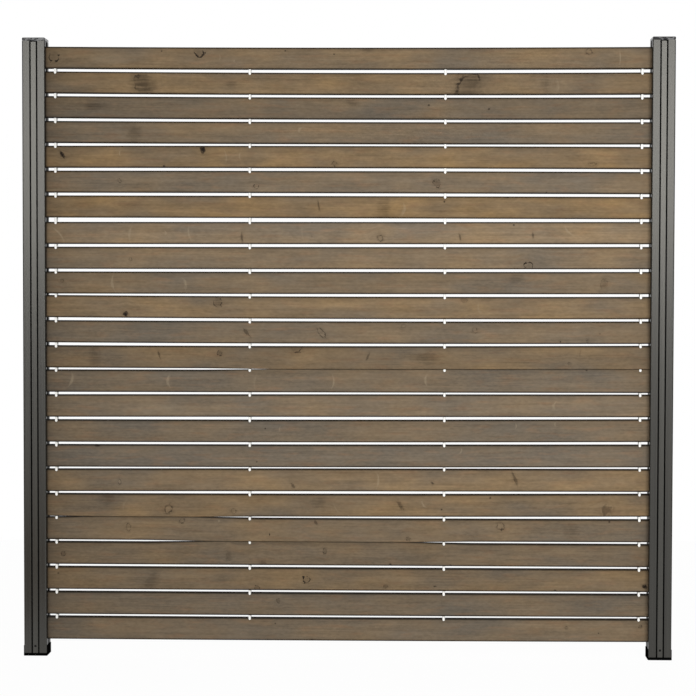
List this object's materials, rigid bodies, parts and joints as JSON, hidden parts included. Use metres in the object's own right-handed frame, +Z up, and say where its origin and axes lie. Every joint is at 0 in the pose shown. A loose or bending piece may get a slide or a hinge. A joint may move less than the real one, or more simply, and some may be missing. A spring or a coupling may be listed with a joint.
{
  "type": "slatted fence panel",
  "caption": "Straight privacy fence panel of horizontal planed timber slats with narrow spaced gaps, held at both ends in the channels of square capped aluminium posts on plastic feet.",
  "frame": {"origin": "on the ground under the middle of the panel, between the posts and in the middle of their depth", "axes": "+X along the panel to the right as seen from the front, +Y towards the back (the front faces -Y), +Z up"},
  "size_m": [1.935, 0.071, 1.844],
  "materials": {
    "stained_wood": "planed softwood with a grey-brown stain",
    "anthracite_aluminium": "satin anthracite coating",
    "dark_plastic": "dark grey, slightly glossy",
    "black_plastic": "black moulded",
    "grey_plastic": "dark grey moulded",
    "white_plastic": "white moulded",
    "screw_steel": "blackened steel"
  },
  "bodies": {
    "root": {"slat_01": "stained_wood", "slat_02": "stained_wood", "slat_03": "stained_wood", "slat_04": "stained_wood", "slat_05": "stained_wood", "slat_06": "stained_wood", "slat_07": "stained_wood", "slat_08": "stained_wood", "slat_09": "stained_wood", "slat_10": "stained_wood", "slat_11": "stained_wood", "slat_12": "stained_wood", "slat_13": "stained_wood", "slat_14": "stained_wood", "slat_15": "stained_wood", "slat_16": "stained_wood", "slat_17": "stained_wood", "slat_18": "stained_wood", "slat_19": "stained_wood", "slat_20": "stained_wood", "slat_21": "stained_wood", "slat_22": "stained_wood", "slat_23": "stained_wood", "slat_24": "stained_wood", "post_left": "anthracite_aluminium", "front_strip_left": "anthracite_aluminium", "back_strip_left": "anthracite_aluminium", "outer_strip_left": "anthracite_aluminium", "cap_left": "dark_plastic", "foot_left": "black_plastic", "slat_support_left": "grey_plastic", "post_right": "anthracite_aluminium", "front_strip_right": "anthracite_aluminium", "back_strip_right": "anthracite_aluminium", "outer_strip_right": "anthracite_aluminium", "cap_right": "dark_plastic", "foot_right": "black_plastic", "slat_support_right": "grey_plastic", "spacers_1": "white_plastic", "spacers_2": "white_plastic", "spacers_3": "white_plastic", "spacers_4": "white_plastic", "foot_screws": "screw_steel"}
  },
  "joints": []
}
